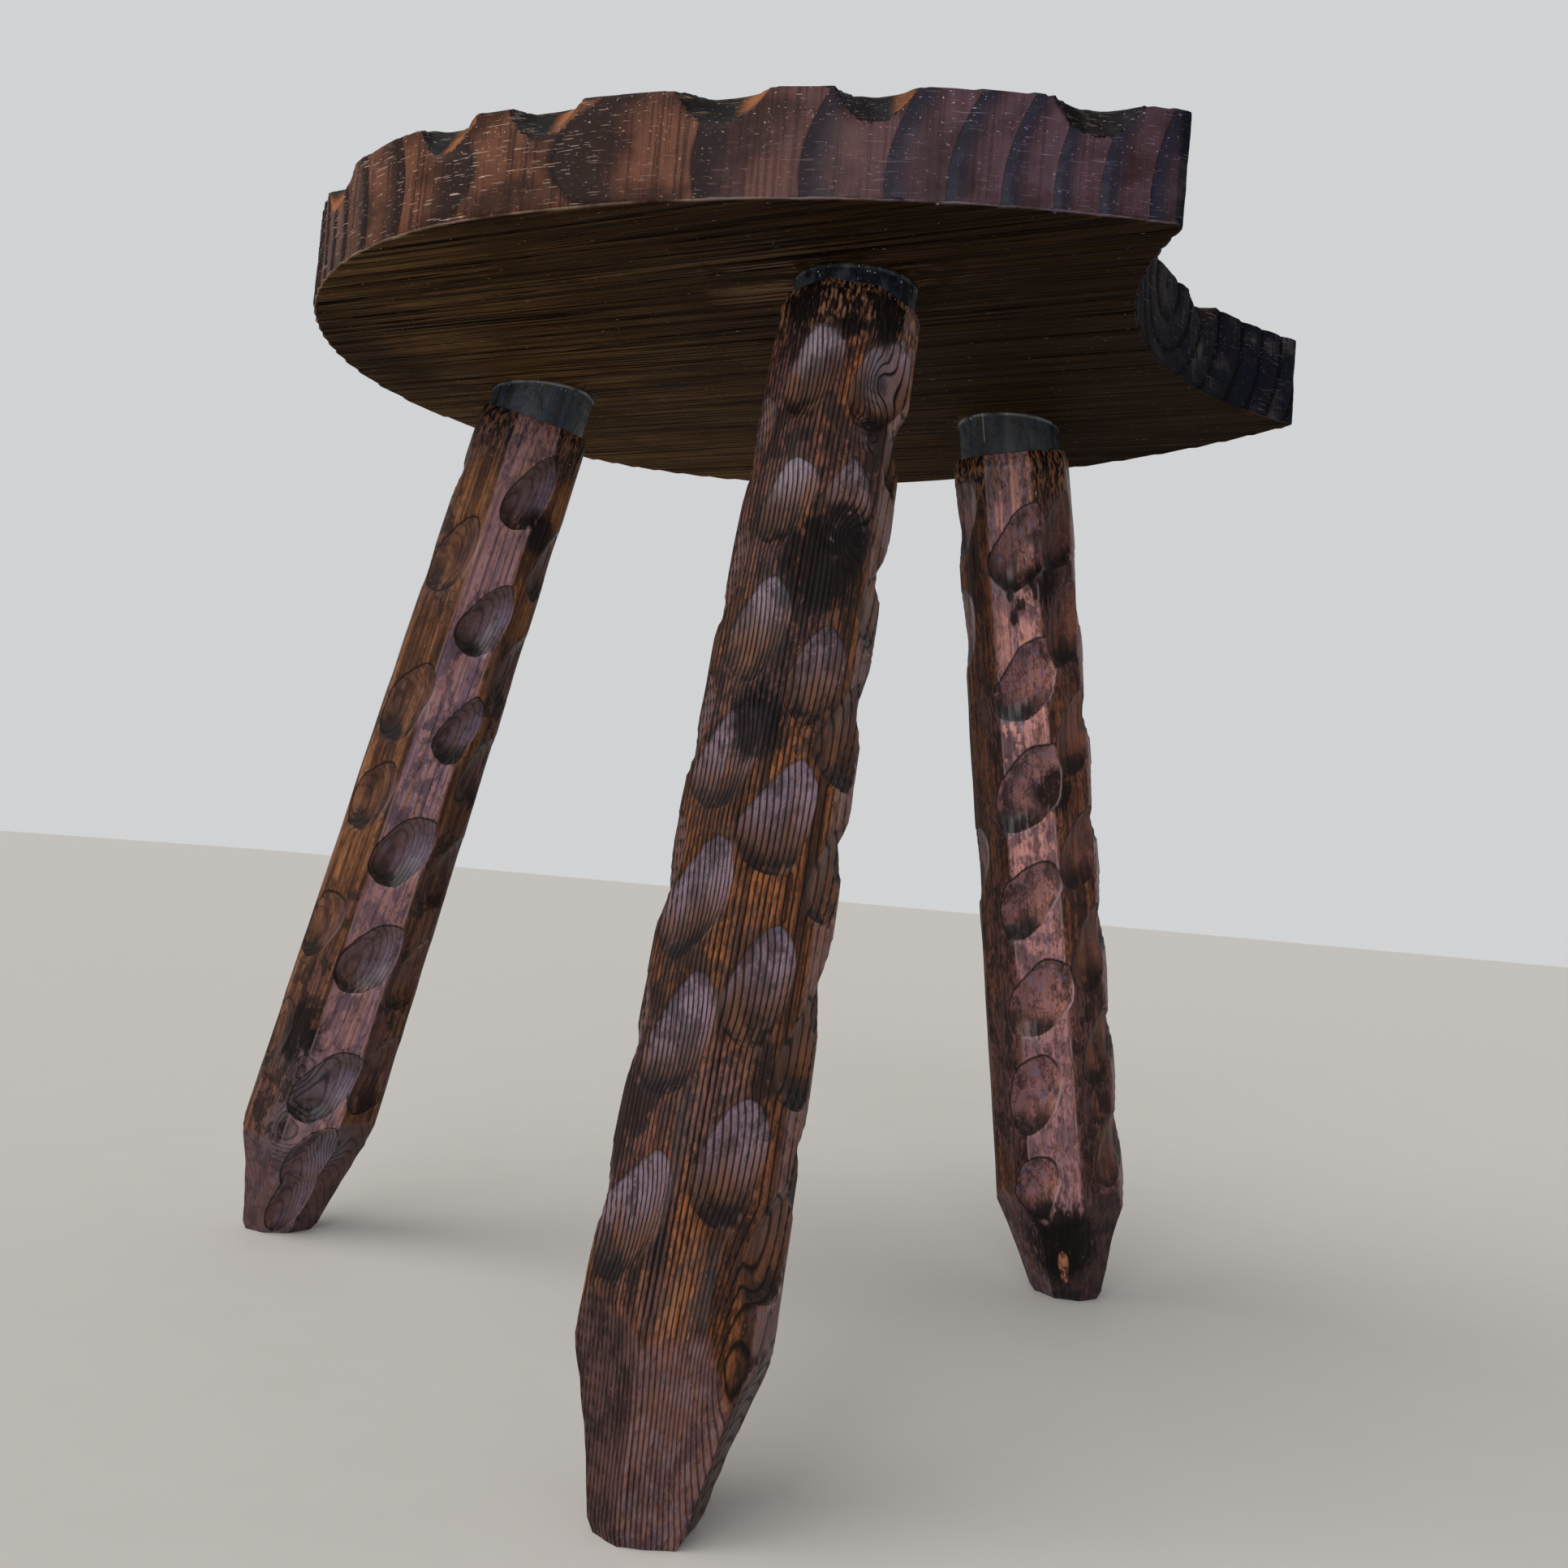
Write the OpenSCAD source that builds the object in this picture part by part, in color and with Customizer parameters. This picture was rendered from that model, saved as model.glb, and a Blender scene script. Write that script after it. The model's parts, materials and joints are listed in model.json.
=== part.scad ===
// Carved three-legged stool: a horseshoe seat board on three splayed legs.
// Millimetres. +Z is up, the feet stand on z = 0 and +X points to the notched end.
// The origin is the middle of the stool's box, on the floor.

/* [Seat] */
// Length of the seat, from the round end to the notched end
seat_l = 360; // [320:1:420]
// Width of the seat at its widest
seat_w = 316; // [280:1:340]
// Thickness of the seat board
seat_t = 35; // [32:1:50]
// Height of the seat's top face above the floor
seat_h = 399; // [360:1:450]
// Radius of the two long sides, between the widest place and the notched end
side_r = 365; // [300:1:600]
// Depth of the notch at its middle
notch_depth = 34; // [20:1:45]

/* [Edge scoops] */
// Width of a scoop along the seat's top edge
edge_scoop_w = 28; // [18:1:34]
// How far a scoop comes in over the top face
edge_scoop_in = 7; // [3:0.5:10]
// How far a scoop runs down the side wall
edge_scoop_drop = 12; // [6:0.5:16]

/* [Legs] */
// Distance from the round end to the round-end leg, on the seat's underside
round_leg_in = 70; // [55:1:90]
// Distance from the notched end to the two notch-end legs, on the seat's underside
notch_leg_in = 112; // [95:1:130]
// Distance of each notch-end leg from the seat's centre line
notch_leg_y = 78; // [60:1:90]
// Splay of the round-end leg, in degrees from upright
round_splay = 16.3; // [8:0.1:20]
// Splay of the notch-end legs, in degrees from upright
notch_splay = 13.8; // [8:0.1:20]
// Direction in which the round-end leg leans, in degrees from +X
round_dir = 177; // [170:1:190]
// Direction in which the left notch-end leg leans, in degrees from +X
left_dir = 72; // [60:1:90]
// Direction in which the right notch-end leg leans, in degrees from +X
right_dir = -83; // [-90:1:-60]
// Diameter of a leg at its shoulder
shoulder_d = 48; // [44:0.5:56]
// Diameter of a leg at the knee, where the foot's taper starts
knee_d = 56; // [52:0.5:62]
// Width of a foot across its flats, where it meets the floor
foot_d = 27; // [20:0.5:36]
// Length of the tapered foot, along the leg
foot_l = 50; // [35:1:70]
// Depth of the eight flats down a leg
flat_depth = 1.2; // [0.6:0.1:1.8]

/* [Tenons and collars] */
// Distance from the seat's underside to a leg's shoulder, along the leg
shoulder_gap = 12; // [9:0.5:20]
// How far a tenon reaches into the seat, along the leg
tenon_in = 21; // [14:0.5:22]
// Outer diameter of the collar round each tenon
collar_d = 40.5; // [36:0.5:42]
// Thickness of a collar's wall
collar_wall = 2; // [1:0.1:3]
// Clearance round a collar in the seat's socket
socket_fit = 0.15; // [0.05:0.05:0.5]
// Clearance round a tenon in its collar
tenon_fit = 0.05; // [0.05:0.05:0.3]

/* [Leg scoops] */
// Radius of the round-bottomed cut that makes a scoop
scoop_r = 26; // [20:1:40]
// Depth of a scoop below the leg's round surface
scoop_depth = 3.6; // [1.5:0.1:4.5]
// Lean of the cut across the leg, in degrees
scoop_lean = 35; // [0:1:45]
// Distance between scoops in one column, along the leg
scoop_pitch = 46; // [42:1:60]
// Distance from the seat's underside to the first scoop
scoop_first = 46; // [44:1:70]
// Turn of each scoop back from the one above it, in degrees
scoop_turn = 3; // [0:0.5:6]

/* [Hidden] */

$fn = 96;
// Extra length with which a cut runs clear of what it cuts
clear = 2;
// Gap between a collar's upper end and the end of its socket
collar_end_gap = 0.3;

under_h = seat_h - seat_t;
head_r = seat_w / 2;
round_foot_reach = under_h * tan(round_splay) + foot_d / 2 / cos(round_splay) - round_leg_in;
// The box runs from the round-end foot, or the seat's round end, to the notched end
tip_x = -(seat_l - max(0, round_foot_reach)) / 2;
end_x = tip_x + seat_l;
head_x = tip_x + head_r;
side_y = side_r - head_r;
tail_half = sqrt(side_r * side_r - (end_x - head_x) * (end_x - head_x)) - side_y;
notch_r = (tail_half * tail_half + notch_depth * notch_depth) / (2 * notch_depth);
notch_x = end_x - notch_depth + notch_r;

// Each leg: place on the underside, direction of its lean, splay,
// turn of its first scoop column about the leg, and number of columns
ROUND = [tip_x + round_leg_in, 0, round_dir, round_splay, 45, 7];
LEFT = [end_x - notch_leg_in, notch_leg_y, left_dir, notch_splay, 109, 7];
RIGHT = [end_x - notch_leg_in, -notch_leg_y, right_dir, notch_splay, -1, 8];

function lean_dir(leg) = leg[2];
function splay(leg) = leg[3];
function first_column(leg) = leg[4];
function columns(leg) = leg[5];

LEG_FLATS = 8;
tenon_r = collar_d / 2 - collar_wall - tenon_fit;
socket_r = collar_d / 2 + socket_fit;
flat_turn = 360 / LEG_FLATS;

// Scoops along each long edge, as parts of the way from the round end to the notched end.
// They were cut by eye, so their distances differ.
EDGE_SCOOPS = [0.04, 0.14, 0.24, 0.35, 0.5, 0.58, 0.7, 0.8, 0.94];
// Scoops along the notch, as angles at the centre of its curve
NOTCH_SCOOPS = [-17, 17];
edge_scoop_m = norm([edge_scoop_in, edge_scoop_drop]);
edge_scoop_depth = edge_scoop_in * edge_scoop_drop / edge_scoop_m;
edge_scoop_r = (edge_scoop_w * edge_scoop_w / 4 + edge_scoop_depth * edge_scoop_depth)
    / (2 * edge_scoop_depth);
edge_scoop_l = 4 * edge_scoop_drop;

// The quarter circle of the round end is this long, and the side's arc follows it
quarter_l = head_r * PI / 2;
edge_l = quarter_l + side_r * asin((end_x - head_x) / side_r) * PI / 180;

function edge_turn(s) =
    s < quarter_l ? 180 * (1 - s / (head_r * PI)) : 90 - 180 * (s - quarter_l) / (side_r * PI);
function edge_x(s) = head_x + (s < quarter_l ? head_r : side_r) * cos(edge_turn(s));
function edge_y(s) = s < quarter_l ? head_r * sin(edge_turn(s)) : side_r * sin(edge_turn(s)) - side_y;
function leg_l(leg) = under_h / cos(splay(leg));
function leg_r(leg, s) =
    (shoulder_d + (knee_d - shoulder_d) * (s - shoulder_gap) / (leg_l(leg) - foot_l - shoulder_gap)) / 2;

// Puts a child on a leg's axis: the child's z = 0 is at the seat's underside and it hangs down
module on_leg(leg) {
    translate([leg[0], leg[1], under_h])
        rotate([0, 0, lean_dir(leg)])
            rotate([0, -splay(leg), 0])
                children();
}

// The plain horseshoe board, without sockets or scoops
module seat_blank() {
    difference() {
        translate([0, 0, under_h]) {
            translate([head_x, 0, 0]) cylinder(h = seat_t, r = head_r, $fn = 240);
            intersection() {
                translate([head_x, -side_y, 0]) cylinder(h = seat_t, r = side_r, $fn = 360);
                translate([head_x, side_y, 0]) cylinder(h = seat_t, r = side_r, $fn = 360);
                translate([head_x, -seat_w, 0]) cube([end_x - head_x, 2 * seat_w, seat_t]);
            }
        }
        translate([notch_x, 0, under_h - clear])
            cylinder(h = seat_t + 2 * clear, r = notch_r, $fn = 240);
    }
}

// One scoop over the top edge, cut outwards and down; the edge is at the origin and +X points out
module edge_scoop() {
    translate([-edge_scoop_in, 0, 0])
        rotate([0, atan2(edge_scoop_drop, edge_scoop_in), 0])
            translate([0, 0, edge_scoop_r])
                rotate([0, 90, 0])
                    cylinder(h = edge_scoop_l, r = edge_scoop_r, center = true);
}

module edge_scoops() {
    for (part = EDGE_SCOOPS, side = [-1, 1]) {
        s = part * edge_l;
        translate([edge_x(s), side * edge_y(s), seat_h])
            rotate([0, 0, side * edge_turn(s)])
                edge_scoop();
    }
    for (a = NOTCH_SCOOPS)
        translate([notch_x - notch_r * cos(a), notch_r * sin(a), seat_h])
            rotate([0, 0, -a])
                edge_scoop();
}

// Blind socket for one collar and tenon
module socket(leg) {
    on_leg(leg)
        translate([0, 0, -shoulder_gap])
            cylinder(h = shoulder_gap + tenon_in, r = socket_r);
}

module seat() {
    color("#3a2416")
        difference() {
            seat_blank();
            edge_scoops();
            for (leg = [ROUND, LEFT, RIGHT]) socket(leg);
        }
}

// What is cut away outside one long flat of a leg's shaft
module flat_cut(leg) {
    knee = leg_l(leg) - foot_l;
    flat_top = leg_r(leg, shoulder_gap) - flat_depth;
    flat_knee = leg_r(leg, knee) - flat_depth;
    translate([flat_top, 0, -shoulder_gap])
        rotate([0, -atan2(flat_knee - flat_top, knee - shoulder_gap), 0])
            translate([0, -knee_d / 2, -leg_l(leg)])
                cube([knee_d / 2, knee_d, leg_l(leg) + clear]);
}

// What is cut away outside one facet of a foot's taper, from the knee down
module foot_cut(leg) {
    knee = leg_l(leg) - foot_l;
    knee_r = leg_r(leg, knee);
    translate([knee_r, 0, -knee])
        rotate([0, atan2(knee_r - foot_d / 2, foot_l), 0])
            translate([0, -knee_d, -2 * foot_l])
                cube([knee_d, 2 * knee_d, 3 * foot_l]);
}

// The columns of scoops round a leg: every other column starts half a pitch lower
module leg_scoops(leg) {
    last = leg_l(leg) - foot_l;
    for (column = [0 : columns(leg) - 1]) {
        first = scoop_first + (column % 2) * scoop_pitch / 2;
        for (row = [0 : floor((last - first) / scoop_pitch)]) {
            s = first + row * scoop_pitch;
            rotate([0, 0, first_column(leg) + column * 360 / columns(leg) - row * scoop_turn])
                translate([leg_r(leg, s) - scoop_depth + scoop_r, 0, -s])
                    rotate([90 + scoop_lean, 0, 0])
                        cylinder(h = 2 * scoop_r, r = scoop_r, center = true);
        }
    }
}

// A leg: tenon, square shoulder, eight-sided shaft with scoops, and a foot cut level with the floor
module leg(leg) {
    blank_end = leg_l(leg) + foot_d;
    color("#4a2a1a")
        difference() {
            on_leg(leg) {
                translate([0, 0, -shoulder_gap]) cylinder(h = shoulder_gap + tenon_in, r = tenon_r);
                difference() {
                    translate([0, 0, -blank_end])
                        cylinder(h = blank_end - shoulder_gap,
                                 r1 = leg_r(leg, blank_end), r2 = shoulder_d / 2);
                    for (k = [0 : LEG_FLATS - 1]) {
                        rotate([0, 0, k * flat_turn]) flat_cut(leg);
                        rotate([0, 0, (k + 0.5) * flat_turn]) foot_cut(leg);
                    }
                    leg_scoops(leg);
                }
            }
            translate([leg[0] - seat_l, leg[1] - seat_l, -seat_l])
                cube([2 * seat_l, 2 * seat_l, seat_l]);
        }
}

// The black sleeve round a tenon, from the leg's shoulder up into the socket
module collar(leg) {
    color("#15171c")
        on_leg(leg)
            translate([0, 0, -shoulder_gap])
                difference() {
                    cylinder(h = shoulder_gap + tenon_in - collar_end_gap, d = collar_d);
                    translate([0, 0, -clear])
                        cylinder(h = shoulder_gap + tenon_in + 2 * clear, d = collar_d - 2 * collar_wall);
                }
}

seat();
leg(ROUND);  // round_end_leg
leg(LEFT);  // notch_left_leg
leg(RIGHT);  // notch_right_leg
collar(ROUND);  // round_end_collar
collar(LEFT);  // notch_left_collar
collar(RIGHT);  // notch_right_collar
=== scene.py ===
"""The looks of a carved three-legged stool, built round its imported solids.

Shapes are worked out in millimetres, in the frame of the solids: +Z is up and the
feet stand on the floor. The wood's growth rings are one field in space. They shape
the brushed surface and colour it, so that relief and grain lie on each other.
"""
import json
import math

import bmesh
import bpy
import numpy as np
from mathutils import Euler, Matrix, Vector

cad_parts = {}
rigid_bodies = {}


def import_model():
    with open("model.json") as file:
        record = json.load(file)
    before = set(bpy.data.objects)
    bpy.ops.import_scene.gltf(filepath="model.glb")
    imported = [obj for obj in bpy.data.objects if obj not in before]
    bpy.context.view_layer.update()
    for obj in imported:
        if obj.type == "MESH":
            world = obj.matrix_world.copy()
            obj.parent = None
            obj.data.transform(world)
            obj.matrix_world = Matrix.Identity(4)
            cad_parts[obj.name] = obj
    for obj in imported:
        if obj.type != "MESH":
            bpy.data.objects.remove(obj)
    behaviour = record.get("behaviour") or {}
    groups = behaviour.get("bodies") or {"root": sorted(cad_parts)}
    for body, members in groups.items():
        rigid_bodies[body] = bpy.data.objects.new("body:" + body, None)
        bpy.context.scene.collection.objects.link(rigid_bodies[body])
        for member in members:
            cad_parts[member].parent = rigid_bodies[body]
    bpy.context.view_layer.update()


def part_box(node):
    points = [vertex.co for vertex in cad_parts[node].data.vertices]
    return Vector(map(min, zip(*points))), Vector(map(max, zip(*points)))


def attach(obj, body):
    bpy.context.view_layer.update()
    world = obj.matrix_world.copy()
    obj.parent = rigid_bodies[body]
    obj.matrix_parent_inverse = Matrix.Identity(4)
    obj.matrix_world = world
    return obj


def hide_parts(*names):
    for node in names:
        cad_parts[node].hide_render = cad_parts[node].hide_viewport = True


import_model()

MM = 0.001

# The seat's own sizes, as in the solids
seat_low, seat_high = (np.array(corner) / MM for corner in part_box("seat"))
tip_x, end_x = seat_low[0], seat_high[0]
under_h, seat_h = seat_low[2], seat_high[2]
head_r = seat_high[1]
head_x = tip_x + head_r
side_r = 365
side_y = side_r - head_r
notch_depth = 34
tail_half = math.sqrt(side_r ** 2 - (end_x - head_x) ** 2) - side_y
notch_r = (tail_half ** 2 + notch_depth ** 2) / (2 * notch_depth)
notch_x = end_x - notch_depth + notch_r

# The legs' sizes, as in the solids
shoulder_d, knee_d, foot_d, foot_l = 48, 56, 27, 50
shoulder_gap, tenon_in = 12, 21
tenon_r, collar_r, collar_wall = 18.2, 20.25, 2
mean_r = (shoulder_d + knee_d) / 4


# Unevenness, wood and rounded edges

def lattice(i, j, k, seed):
    """A fixed value from -1 to 1 for each whole-number place."""
    h = (i * 73856093) ^ (j * 19349663) ^ (k * 83492791) ^ (seed * 2654435761)
    h = ((h ^ (h >> 13)) & 0xFFFFFFFF) * 1274126177 & 0xFFFFFFFF
    h = ((h ^ (h >> 15)) & 0xFFFFFFFF) * 73244475 & 0xFFFFFFFF
    return ((h >> 8) & 0xFFFF) / 32767.5 - 1


def wander(p, size, seed):
    """Smooth unevenness from -1 to 1 at points p, with features of the given size."""
    q = p / np.array(size, float)
    low = np.floor(q).astype(np.int64)
    t = q - low
    t = t * t * (3 - 2 * t)
    total = 0
    for corner in range(8):
        step = np.array([corner & 1, corner >> 1 & 1, corner >> 2 & 1])
        weight = np.prod(np.where(step, t, 1 - t), axis=1)
        total = total + weight * lattice(*(low + step).T, seed)
    return total


def ring_relief(ring, rise):
    """Height from 0 to 1 across a growth ring: it rises slowly, then drops at the ring's edge."""
    phase = ring - np.floor(ring)
    fall = 0.1
    return np.where(phase < 1 - fall, (phase / (1 - fall)) ** rise, (1 - phase) / fall)


def rounded(gap, radius):
    """How far a rounded edge draws the surface in, at points this far from the edge."""
    near = np.clip(1 - gap / radius, 0, 1)
    return radius * (1 - np.sqrt(1 - near ** 2))


# Making pieces

def lone(piece):
    """Leaves this piece alone selected and active."""
    bpy.ops.object.select_all(action="DESELECT")
    piece.select_set(True)
    bpy.context.view_layer.objects.active = piece


def place(piece, stance):
    """Moves and turns the piece's mesh to its place, so that its object stays at the origin."""
    lone(piece)
    piece.matrix_world = stance
    bpy.ops.object.transform_apply(location=True, rotation=True, scale=True)


def pick(piece, kind, test):
    """Selects, in edit mode, the edges or faces that pass a test."""
    bpy.ops.mesh.select_mode(type=kind)
    bpy.ops.mesh.select_all(action="DESELECT")
    shape = bmesh.from_edit_mesh(piece.data)
    parts = {"EDGE": shape.edges, "FACE": shape.faces}[kind]
    for part in parts:
        if test(part):
            part.select_set(True)
    bmesh.update_edit_mesh(piece.data)


def points(piece):
    """The piece's points in millimetres."""
    flat = np.empty(len(piece.data.vertices) * 3)
    piece.data.vertices.foreach_get("co", flat)
    return flat.reshape(-1, 3) / MM


def move_points(piece, p):
    piece.data.vertices.foreach_set("co", (p * MM).ravel())
    piece.data.update()


def normals(piece):
    flat = np.empty(len(piece.data.vertices) * 3, np.float32)
    piece.data.vertex_normals.foreach_get("vector", flat)
    return flat.reshape(-1, 3).astype(float)


def record(piece, **layers):
    """Keeps values for the piece's points, which its finish reads."""
    for name, values in layers.items():
        layer = piece.data.attributes.new(name, "FLOAT", "POINT")
        layer.data.foreach_set("value", values.astype(np.float32))


def finish_piece(piece, material, slot, *nodes):
    lone(piece)
    bpy.ops.object.shade_smooth_by_angle(angle=math.radians(50))
    if not piece.data.materials:
        piece.data.materials.append(material)
    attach(piece, "root")
    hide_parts(*nodes)


# Seat

# Growth rings of the board, as radii round its pith, which runs near the top face
RING_EDGES = [0, 12, 23, 32, 43, 56, 66, 75, 83, 91, 98, 105, 112, 119, 126, 132, 138, 144,
              150, 157.2, 164.2, 169, 174.6, 178.7, 184.7, 188.8, 200]
PITH_Z = 393
PITH_Y = 11
# Places of the scoops along each long edge, from the round end
NEAR_SCOOPS = [18, 64, 112, 160, 229, 267, 325, 370, 434]
FAR_SCOOPS = [34, 88, 139, 186, 236, 281, 330, 385, 432]
SCOOP_WIDTHS = [24, 27, 30]
# Turns about the notch's centre of the scoops on its edge
NOTCH_SCOOPS = [-17, 17]


def seat_rings(p):
    x, y, z = p.T
    outer = np.clip((-130 - y) / 28, 0, 1)
    skew = 0.18 * np.clip((PITH_Y - y) / 60, 0, 1) * (1 - 0.6 * outer)
    off = y - PITH_Y - 0.02 * x - skew * (z - seat_h + 17)
    off = off + (1 - 0.8 * outer) * (1.6 * wander(p, (170, 90, 300), 3) + 0.35 * wander(p, (30, 12, 40), 4))
    away = np.hypot(off, z - PITH_Z)
    return np.interp(away, RING_EDGES, np.arange(len(RING_EDGES)))


def seat_point(across, along, inset, z):
    """A point of the board: across and along run over it, and inset draws its outline in."""
    y = (head_r - inset) * (0.35 * across + 0.65 * np.sin(across * math.pi / 2)) * 0.9998
    left = head_x - np.sqrt((head_r - inset) ** 2 - y * y)
    notch = notch_x - np.sqrt(np.maximum((notch_r + inset) ** 2 - y * y, 0))
    side = head_x + np.sqrt((side_r - inset) ** 2 - (abs(y) + side_y) ** 2)
    soft = 2.4
    right = -soft * np.logaddexp(-notch / soft, -side / soft)
    return np.stack([left + (right - left) * along, y, z], axis=1)


def edge_place(s, side):
    """Where a scoop sits on the top edge, and which way it faces, s along from the round end."""
    quarter = head_r * math.pi / 2
    if s < quarter:
        turn = math.pi - s / head_r
        return head_x + head_r * math.cos(turn), side * head_r * math.sin(turn), side * turn
    turn = math.pi / 2 - (s - quarter) / side_r
    return head_x + side_r * math.cos(turn), side * (side_r * math.sin(turn) - side_y), side * turn


def gouge(x, y, turn, width, reach=7.0, drop=12.0):
    """A round cutter laid over the top edge, sloping out and down."""
    slope = math.atan2(drop, reach)
    deep = reach * math.sin(slope)
    r = (width * width / 4 + deep * deep) / (2 * deep)
    stance = (Matrix.Translation((x, y, seat_h)) @ Matrix.Rotation(turn, 4, "Z")
              @ Matrix.Translation((-reach, 0, 0)) @ Matrix.Rotation(slope, 4, "Y")
              @ Matrix.Translation((0, 0, r)) @ Matrix.Rotation(math.pi / 2, 4, "Y"))
    bpy.ops.mesh.primitive_cylinder_add(vertices=96, radius=r * MM, depth=56 * MM)
    cutter = bpy.context.object
    bpy.ops.object.mode_set(mode="EDIT")
    pick(cutter, "EDGE", lambda e: abs(e.verts[0].co.z - e.verts[1].co.z) > MM)
    bpy.ops.mesh.subdivide(number_cuts=27)
    bpy.ops.object.mode_set(mode="OBJECT")
    stance.translation = stance.translation * MM
    place(cutter, stance)
    return cutter


def leg_stance(leg):
    """The place of a leg's axis: its zero is at the underside and it hangs down."""
    turn = Euler((0, -math.radians(leg["splay"]), math.radians(leg["lean"]))).to_matrix().to_4x4()
    return Matrix.Translation((leg["x"] * MM, leg["y"] * MM, under_h * MM)) @ turn


def board_blank():
    """The uncut board: a slab in even rows, bent to its outline, with its borders rounded."""
    rows, columns, levels = ((440, 48, 26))
    bpy.ops.mesh.primitive_grid_add(x_subdivisions=columns, y_subdivisions=rows, size=2)
    seat = bpy.context.object
    seat.name = "carved_seat"
    bpy.ops.object.mode_set(mode="EDIT")
    bpy.ops.mesh.select_all(action="SELECT")
    bpy.ops.mesh.extrude_region_move(TRANSFORM_OT_translate={"value": (0, 0, 1)})
    pick(seat, "EDGE", lambda e: abs(e.verts[0].co.z - e.verts[1].co.z) > 0.5)
    bpy.ops.mesh.subdivide(number_cuts=levels - 1)
    bpy.ops.mesh.select_all(action="SELECT")
    bpy.ops.mesh.normals_make_consistent(inside=False)
    bpy.ops.object.mode_set(mode="OBJECT")
    p = points(seat) * MM
    up = 0.55 * p[:, 2] + 0.45 * (1 - np.cos(math.pi * p[:, 2])) / 2
    thick = seat_h - under_h
    inset = rounded(np.minimum(up, 1 - up) * thick, 1.3)
    move_points(seat, seat_point(p[:, 1], (p[:, 0] + 1) / 2, inset, under_h + thick * up))
    return seat


def board_cutter():
    """One piece of all that is cut from the board: the edge scoops and the collars' sockets."""
    cutters = []
    for places, side in ((NEAR_SCOOPS, -1), (FAR_SCOOPS, 1)):
        for k, s in enumerate(places):
            cutters.append(gouge(*edge_place(s, side), SCOOP_WIDTHS[(k * 7 + side) % 3]))
    for a in NOTCH_SCOOPS:
        b = math.radians(a)
        cutters.append(gouge(notch_x - notch_r * math.cos(b), notch_r * math.sin(b), -b,
                             width=20, reach=5, drop=9))
    for leg in LEGS.values():
        bpy.ops.mesh.primitive_cylinder_add(vertices=128, radius=(collar_r + 0.15) * MM,
                                            depth=2 * tenon_in * MM)
        cutters.append(bpy.context.object)
        place(cutters[-1], leg_stance(leg))
    lone(cutters[0])
    for cutter in cutters:
        cutter.select_set(True)
    bpy.ops.object.join()
    return bpy.context.object


def make_seat():
    """The board, cut and then worn. What the cutter leaves has the finish of the scoops."""
    seat, tool = board_blank(), board_cutter()
    seat.data.materials.append(seat_finish)
    tool.data.materials.append(scoop_finish)
    lone(seat)
    cut = seat.modifiers.new("scoops", "BOOLEAN")
    cut.operation, cut.solver, cut.object = "DIFFERENCE", "EXACT", tool
    cut.material_mode = "TRANSFER"
    bpy.ops.object.modifier_apply(modifier=cut.name)
    bpy.data.objects.remove(tool)
    wear_scoop_edges(seat)
    brush_seat(seat)
    finish_piece(seat, seat_finish, "seat_wood", "seat")


def wear_scoop_edges(seat):
    """Rounds the sharp borders of the scoops, as years of handling did."""
    lone(seat)
    bpy.ops.object.mode_set(mode="EDIT")
    top = (seat_h - 20) * MM
    pick(seat, "EDGE", lambda e: e.verts[0].co.z > top and len({f.material_index for f in e.link_faces}) > 1)
    bpy.ops.mesh.select_more()
    bpy.ops.mesh.vertices_smooth(factor=0.5, repeat=8)
    bpy.ops.object.mode_set(mode="OBJECT")


def in_socket(p):
    """Which points lie in a collar's socket."""
    found = np.zeros(len(p), bool)
    for leg in LEGS.values():
        local = np.array(leg_stance(leg).inverted()) @ np.vstack([p.T * MM, np.ones(len(p))])
        found |= np.hypot(local[0], local[1]) / MM < collar_r + 0.4
    return found


def brush_seat(seat):
    """Wears the soft wood away between the rings, deepest on the end grain."""
    p, n = points(seat), normals(seat)
    ring = seat_rings(p)
    end_grain = abs(n[:, 0]) ** 1.5
    flat = abs(n[:, 2])
    depth = 0.25 + 1.2 * end_grain + 0.2 * flat
    high = ring_relief(ring, 1.3)
    rolls = (1 - abs(2 * (ring - np.floor(ring)) - 1) ** 3) ** 0.5
    on_notch = (p[:, 0] > 145) & (n[:, 0] > 0.5)
    high = np.where(on_notch, rolls, high)
    fine = wander(p, (60, 1.5, 1.5), 5)
    coarse = wander(p, (9, 9, 9), 6)
    sink = depth * (1 - high) + 0.09 * (1 + fine) + 0.12 * (1 + coarse)
    sink[in_socket(p)] = 0
    move_points(seat, p - n * sink[:, None])
    scuff_x, scuff_y = end_x - 125, -88
    scuffed = np.exp(-((p[:, 0] - scuff_x) / 42) ** 2 - ((p[:, 1] - scuff_y) / 24) ** 2)
    record(seat, ring=ring, end_grain=end_grain, under=np.clip(-n[:, 2], 0, 1), wall=1 - flat,
           facing=n[:, 0], scuffed=scuffed)


# Legs

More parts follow.
